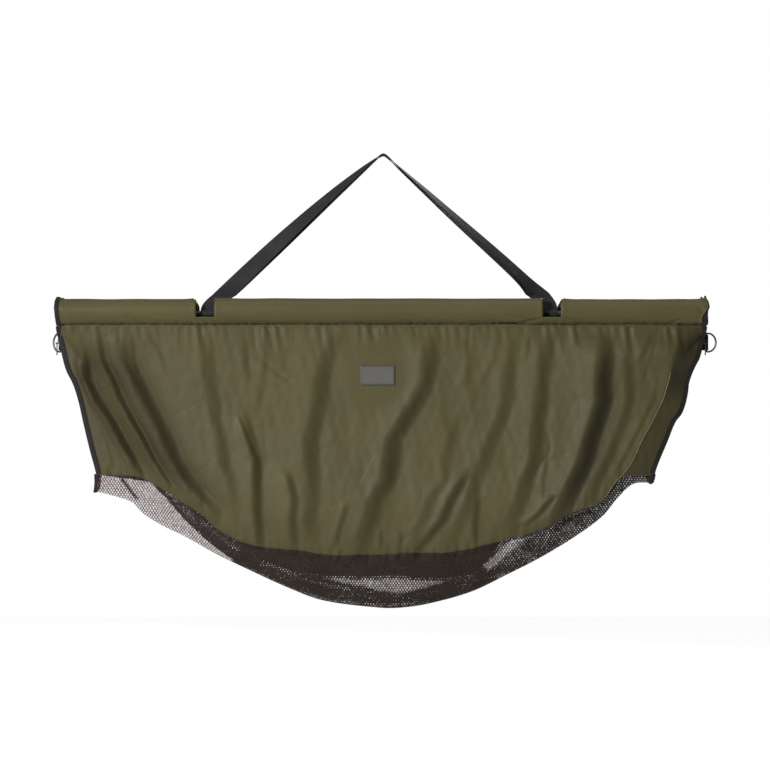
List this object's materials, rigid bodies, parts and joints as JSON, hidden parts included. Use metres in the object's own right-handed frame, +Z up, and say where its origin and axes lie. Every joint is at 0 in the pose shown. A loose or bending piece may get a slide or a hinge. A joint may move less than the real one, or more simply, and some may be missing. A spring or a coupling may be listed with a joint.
{
  "type": "weigh sling",
  "caption": "Floating weigh sling for large fish: foam-filled sleeves, cloth panels, a boat-shaped mesh base, zipped ends and nested webbing carrying straps.",
  "frame": {"origin": "underside of the nested carrying straps at their apex, where the scale's hook bears", "axes": "+X along the sling towards its right end, -Y towards the side with the label, +Z up; the sling hangs as in use"},
  "size_m": [1.2354, 0.1142, 0.8426],
  "materials": {
    "coated_olive_cloth": "matt coated cloth",
    "brown_mesh": "open knitted mesh",
    "charcoal_webbing": "woven webbing",
    "black_zip_tape": "woven tape",
    "closed_cell_foam": "matt foam",
    "black_glass_fibre": "satin",
    "black_rubber": "matt",
    "gunmetal": "dark plated",
    "grey_woven_label": "woven"
  },
  "bodies": {
    "sling": {"front_binding_left": "black_zip_tape", "front_binding_right": "black_zip_tape", "front_float_left": "closed_cell_foam", "front_float_middle": "closed_cell_foam", "front_float_right": "closed_cell_foam", "front_panel": "coated_olive_cloth", "front_pole": "black_glass_fibre", "front_pole_cap_left": "black_rubber", "front_pole_cap_right": "black_rubber", "front_sleeve": "coated_olive_cloth", "front_strap_loop_left": "charcoal_webbing", "front_strap_loop_right": "charcoal_webbing", "front_zip_tape_left": "black_zip_tape", "front_zip_tape_right": "black_zip_tape", "label": "grey_woven_label", "mesh_base": "brown_mesh", "rear_binding_left": "black_zip_tape", "rear_binding_right": "black_zip_tape", "rear_float_left": "closed_cell_foam", "rear_float_middle": "closed_cell_foam", "rear_float_right": "closed_cell_foam", "rear_panel": "coated_olive_cloth", "rear_pole": "black_glass_fibre", "rear_pole_cap_left": "black_rubber", "rear_pole_cap_right": "black_rubber", "rear_sleeve": "coated_olive_cloth", "rear_strap_loop_left": "charcoal_webbing", "rear_strap_loop_right": "charcoal_webbing", "rear_zip_tape_left": "black_zip_tape", "rear_zip_tape_right": "black_zip_tape", "ring_tab_left": "charcoal_webbing", "ring_tab_right": "charcoal_webbing", "zip_end_patch_left": "black_zip_tape", "zip_end_patch_right": "black_zip_tape"},
    "d_ring_left": {"d_ring_left": "gunmetal"},
    "d_ring_right": {"d_ring_right": "gunmetal"},
    "front_strap": {"front_strap": "charcoal_webbing"},
    "rear_strap": {"rear_strap": "charcoal_webbing"},
    "zip_pull_left": {"zip_pull_left": "gunmetal"},
    "zip_pull_right": {"zip_pull_right": "gunmetal"},
    "zip_slider_left": {"zip_slider_left": "gunmetal"},
    "zip_slider_right": {"zip_slider_right": "gunmetal"}
  },
  "joints": [
    {"name": "front_strap_fold", "type": "hinge", "parent": "sling", "child": "front_strap", "pos_m": [0, -0.0068, -0.25885], "axis": [1, 0, 0], "range_deg": [0, 88]},
    {"name": "rear_strap_fold", "type": "hinge", "parent": "sling", "child": "rear_strap", "pos_m": [0, 0.0068, -0.25885], "axis": [-1, 0, 0], "range_deg": [0, 88]},
    {"name": "zip_slide_left", "type": "slide", "parent": "sling", "child": "zip_slider_left", "axis": [0.2744, 0, -0.9616], "range_m": [0, 0.238]},
    {"name": "zip_slide_right", "type": "slide", "parent": "sling", "child": "zip_slider_right", "axis": [-0.3508, 0, -0.9364], "range_m": [0, 0.245]},
    {"name": "pull_swing_left", "type": "hinge", "parent": "zip_slider_left", "child": "zip_pull_left", "pos_m": [-0.60507, 0, -0.34745], "axis": [0, 1, 0], "range_deg": [-14, 155]},
    {"name": "pull_swing_right", "type": "hinge", "parent": "zip_slider_right", "child": "zip_pull_right", "pos_m": [0.59639, 0, -0.34759], "axis": [0, -1, 0], "range_deg": [-18, 155]},
    {"name": "ring_swing_left", "type": "hinge", "parent": "sling", "child": "d_ring_left", "pos_m": [-0.6, 0.0147, -0.3459], "axis": [0, 0, 1], "range_deg": [-60, 32]},
    {"name": "ring_swing_right", "type": "hinge", "parent": "sling", "child": "d_ring_right", "pos_m": [0.5998, 0.0147, -0.3459], "axis": [0, 0, 1], "range_deg": [-40, 100]}
  ]
}
